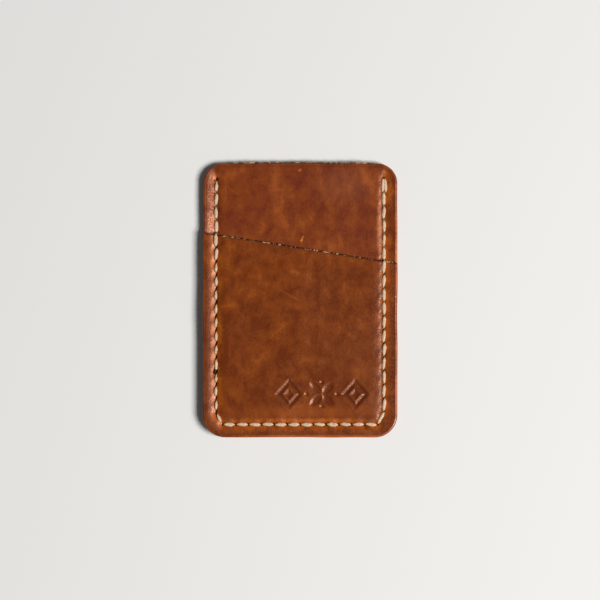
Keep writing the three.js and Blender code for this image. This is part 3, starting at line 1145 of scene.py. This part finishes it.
def half_stitch(dive, taper):
    """Rows from deep in a hole to a stitch's middle: reach along the seam, sideways share,
    height over the groove, half width, half thickness and tuck."""
    curve = [(dive, -HIDDEN_DEPTH), (dive, -1.1)]
    for degrees in range(0, 91, 15):
        a = math.radians(degrees)
        reach = dive + DIVE_WIDE * (1 - math.cos(a))
        curve.append((reach, (DIVE_DEPTH + LIE_HEIGHT) * math.sin(a) - DIVE_DEPTH))
    curve += [(dive + DIVE_WIDE + extra, LIE_HEIGHT + 0.03) for extra in (0.3, 0.6, 0.95)]
    rows = []
    for reach, height in curve:
        full = float(smoothstep(dive, dive + taper, reach))
        out = float(smoothstep(-DIVE_DEPTH, LIE_HEIGHT, height))
        lane = blend(HOLE_LANE, LYING_LANE, out)
        wide, thick = [blend(HOLE_HALF, lying, full) for lying in STITCH_HALF]
        tuck = 1 - float(smoothstep(-0.25, LIE_HEIGHT, height))
        rows.append((reach, lane, height, wide, thick, tuck))
    return rows


def in_left_column(first, last):
    """Down the left side, below the mouth."""
    middle = (HOLES[first] + HOLES[last]) / 2
    return middle[0] < 0 and SEAM_BOTTOM + 1 < middle[1] < MOUTH_RIGHT


def stitch_dives(first, last):
    """How far from its two holes a stitch goes down."""
    if min(first, last) == DOUBLED:
        return PAIR_DIVE, PAIR_DIVE
    middle = (HOLES[first] + HOLES[last]) / 2
    lies_low = middle[1] < SEAM_BOTTOM + 1
    left = LEFT_DIVE if middle[1] < MOUTH_RIGHT else UPPER_LEFT_DIVE
    dive = BOTTOM_DIVE if lies_low else left if middle[0] < 0 else RIGHT_DIVE
    free = [mouth_distance(*HOLES[hole]) < 0 for hole in (first, last)]
    over_mouth = free[0] != free[1]
    return tuple(OVER_MOUTH_DIVE if over_mouth and is_free else dive for is_free in free)


def stitch_path(first, last, lanes, side, random):
    """Rows of x, y, z, half width, half thickness and tuck for one stitch.

    It leaves its first hole on one lane and goes down its last hole on the other."""
    start, end = HOLES[first], HOLES[last]
    along = unit(end - start)
    across = np.array([-along[1], along[0]])
    length = np.linalg.norm(end - start)
    doubled = min(first, last) == DOUBLED and side > 0
    lies_flat = abs(along[0]) > abs(along[1])
    fat = random.uniform(0.9, 1.06)
    if doubled:
        fat *= PAIR_NARROW
    elif in_left_column(first, last):
        fat *= LEFT_NARROW
    elif lies_flat:
        fat *= FLAT_WIDER
    bend = random.uniform(-0.09, 0.09)
    lean = random.uniform(-0.2, 0.2) * (not doubled)
    slips = random.uniform(-0.1, 0.1, 2)
    slide = FIRST_SLIDE * (first == 0) + TORN_SLIDE * (first == TORN_HOLE)
    slips += (slide, TORN_SLIDE * (last == TORN_HOLE))
    spreads = PAIR_SPREAD[:: 1 if first < last else -1] if doubled else (0, 0)
    base = max(side * face_height(*start, side), side * face_height(*end, side))
    tapers = (TAPER_LONG if lies_flat else random.uniform(TAPER_SHORT, TAPER_LONG), TAPER_SHORT)
    dives = stitch_dives(first, last)
    path = []
    for at_end in (0, 1):
        rows = half_stitch(dives[at_end], tapers[at_end])
        for reach, lane, height, wide, thick, tuck in rows[:: 1 - 2 * at_end]:
            lying = 1 - tuck
            place = length - reach if at_end else reach
            place += slips[at_end] * (0.4 + 0.6 * lying)
            share = place / length
            sideways = lanes[at_end] * lane + spreads[0] + (spreads[1] - spreads[0]) * share
            sideways += bend * lying + lean * lying * (1 - 2 * share)
            x, y = start + along * place + across * sideways
            grow = 1 + (fat - 1) * lying
            path.append((x, y, side * (base + height), wide * grow, thick * grow, tuck))
    return path


def resampled(rows, step):
    rows = np.array(rows)
    gaps = np.linalg.norm(np.diff(rows[:, :3], axis=0), axis=1)
    length = np.concatenate([[0], np.cumsum(gaps)])
    at = np.linspace(0, length[-1], max(2, round(length[-1] / step)))
    return np.stack([np.interp(at, length, column) for column in rows.T], axis=1)


def smoothed(rows, times):
    for _ in range(times):
        inner = 0.25 * rows[:-2] + 0.5 * rows[1:-1] + 0.25 * rows[2:]
        rows = np.concatenate([rows[:1], inner, rows[-1:]])
    return rows


def thread_mesh(name, rows):
    """One closed strand along the rows, flattened across the seam and twisted from plies."""
    rows = smoothed(resampled(rows, THREAD_STEP), 2)
    centre = rows[:, :3]
    tangent = units(np.gradient(centre, axis=0))
    flat = np.gradient(smoothed(rows[:, :2], 14), axis=0)
    across = np.stack([-flat[:, 1], flat[:, 0], np.zeros(len(rows))], axis=1)
    for i in range(1, len(across)):
        if np.linalg.norm(across[i]) < 0.02:
            across[i] = across[i - 1]
    across = units(across - (across * tangent).sum(axis=1)[:, None] * tangent)
    normal = np.cross(tangent, across)
    length = np.arange(len(rows)) * THREAD_STEP
    angles = 2 * math.pi * np.arange(THREAD_SIDES) / THREAD_SIDES
    lobes = np.cos(PLIES * (angles[None, :] - 2 * math.pi * length[:, None] / PLY_TURN))
    uneven = FIBRE_DEPTH * waves(length[:, None], 2.4 * angles[None, :] / math.pi, 1.7, SEED + 9)
    size = 1 + PLY_DEPTH * lobes + uneven * smoothstep(0.5, 0.1, rows[:, 5])[:, None]
    wide = rows[:, 3][:, None] * size * np.cos(angles)
    thick = rows[:, 4][:, None] * size * np.sin(angles)
    points = centre[:, None] + across[:, None] * wide[..., None]
    points = (points + normal[:, None] * thick[..., None]).reshape(-1, 3)
    ends = [centre[0] - tangent[0] * TIP, centre[-1] + tangent[-1] * TIP]
    faces = tube_faces(0, len(rows), THREAD_SIDES)
    first, last = len(points), len(points) + 1
    tail = first - THREAD_SIDES
    for j in range(THREAD_SIDES):
        k = (j + 1) % THREAD_SIDES
        faces.append((first, k, j))
        faces.append((last, tail + j, tail + k))
    tuck = np.concatenate([np.repeat(rows[:, 5], THREAD_SIDES), [1, 1]])
    groove = np.concatenate([(0.5 - 0.5 * lobes).ravel(), [0, 0]])
    points = np.concatenate([points, ends])
    return filled_mesh(name, points, faces, {"tuck": tuck, "groove": groove})


def needle_rows(front_first, random):
    """A needle's way through the holes, stitching on the front and the back by turns."""
    rows = []
    first_side = 1 if front_first else -1
    for i in range(LAST):
        side = -first_side if i % 2 else first_side
        lanes = (side, side if i == DOUBLED else -side)
        if i == DOUBLED and side > 0:
            lanes = (0, 0)
        rows += stitch_path(i, i + 1, lanes, side, random)
    if front_first:
        rows += stitch_path(LAST, DOUBLED, (0, 0), 1, random)
    x, y = rows[-1][:2]
    base = BACK_MARGIN + FRONT_GROOVE + BEAD_LIFT
    return rows + [(x, y, base + height, half, half, tuck) for height, half, tuck in BEAD]


# ---- the object ----


def add_panel(name, body, material, node):
    add_piece(name, body.mesh(name), material, node)


def add_thread(name, rows, node):
    add_piece(name, thread_mesh(name, rows), WAXED_THREAD, node)


strands = np.random.default_rng(SEED)
front = panel_body(front_grain, front_flesh, True, FRONT_HOLES, 1, front_edge, raw_mouth)
add_mouth_fibres(front, strands)
add_panel("front_pocket_leather", front, FRONT_LEATHER, "front_pocket_panel")
middle = panel_body(middle_grain, middle_flesh, False, ALL_HOLES, 1, middle_edge, raw_top)
add_top_fibres(middle, strands)
add_panel("middle_leather", middle, MIDDLE_LEATHER, "middle_panel")
back = panel_body(back_grain, back_flesh, False, ALL_HOLES, -1, back_edge, no_raw)
add_panel("back_leather", back, BACK_LEATHER, "back_panel")
add_thread("front_needle_thread", needle_rows(True, strands), "thread_front_needle_run")
add_thread("back_needle_thread", needle_rows(False, strands), "thread_back_needle_run")


# ---- stage, light and camera ----

VIEW_WIDTH = 0.2184  # width of the picture at the wallet, in metres
LENS = 150
SENSOR = 36
KEY_DIRECTION = (0.558, -0.203, 0.8)
KEY_DISTANCE = 2.2
KEY_SIZE = (0.85, 0.85)
KEY_POWER = 64
SKY = 0.1
FLOOR_SIZE = 4
FLOOR_COLOUR = (0.72, 0.71, 0.69, 1)


def add_floor():
    bpy.ops.mesh.primitive_plane_add(size=FLOOR_SIZE)
    floor = bpy.context.object
    floor.name = "floor"
    n = Nodes("pale_floor")
    fill(n.shader, {"Base Color": FLOOR_COLOUR, "Roughness": 0.9})
    floor.data.materials.append(n.material)


def add_key_light():
    light = bpy.data.lights.new("key_light", "AREA")
    light.shape = "RECTANGLE"
    light.size, light.size_y = KEY_SIZE
    light.energy = KEY_POWER
    lamp = placed("key_light", light)
    towards = Vector(KEY_DIRECTION).normalized()
    lamp.location = towards * KEY_DISTANCE
    lamp.rotation_euler = towards.to_track_quat("Z", "Y").to_euler()


def add_camera():
    camera = bpy.data.cameras.new("camera")
    camera.lens = LENS
    camera.sensor_width = SENSOR
    holder = placed("camera", camera)
    holder.location = (0, 0, FRONT_MARGIN * MM + VIEW_WIDTH * LENS / SENSOR)
    bpy.context.scene.camera = holder


def add_world():
    world = bpy.data.worlds.new("studio")
    world.use_nodes = True
    fill(world.node_tree.nodes["Background"], {"Color": (1, 1, 1, 1), "Strength": SKY})
    bpy.context.scene.world = world


add_floor()
add_key_light()
add_world()
add_camera()
bpy.context.scene.view_settings.view_transform = "Standard"
